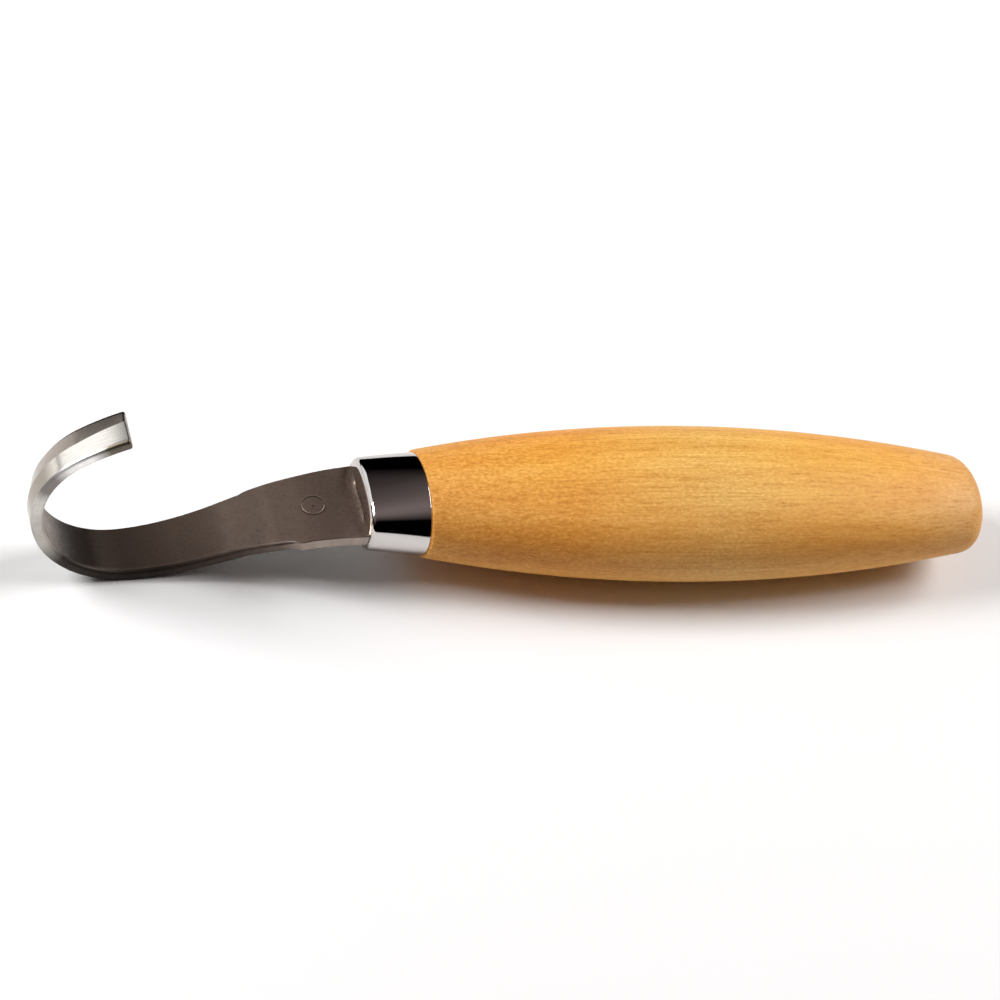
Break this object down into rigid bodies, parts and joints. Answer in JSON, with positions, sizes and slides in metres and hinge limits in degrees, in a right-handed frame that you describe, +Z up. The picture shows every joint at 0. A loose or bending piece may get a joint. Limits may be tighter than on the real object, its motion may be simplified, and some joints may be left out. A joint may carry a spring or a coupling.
{
  "type": "hook knife",
  "caption": "Hook knife: a flat steel strip rolled up into an open hook, with an outer ground bevel, held in a tapered metal ferrule and an oval wooden barrel handle.",
  "frame": {"origin": "on the surface the knife lies on, below the middle of its outline seen from above", "axes": "+X along the handle towards the butt, with the hook at the -X end; +Y towards the cutting edge; +Z up, the way the hook curls"},
  "size_m": [0.167, 0.0292, 0.0345],
  "materials": {
    "blade_steel": "satin, belt-ground bevel",
    "ferrule_plating": "bright nickel plate",
    "birch": "oiled, lengthwise grain",
    "resin": "cured adhesive"
  },
  "bodies": {
    "root": {"blade": "blade_steel", "ferrule": "ferrule_plating", "handle": "birch", "tang_adhesive": "resin"}
  },
  "joints": []
}
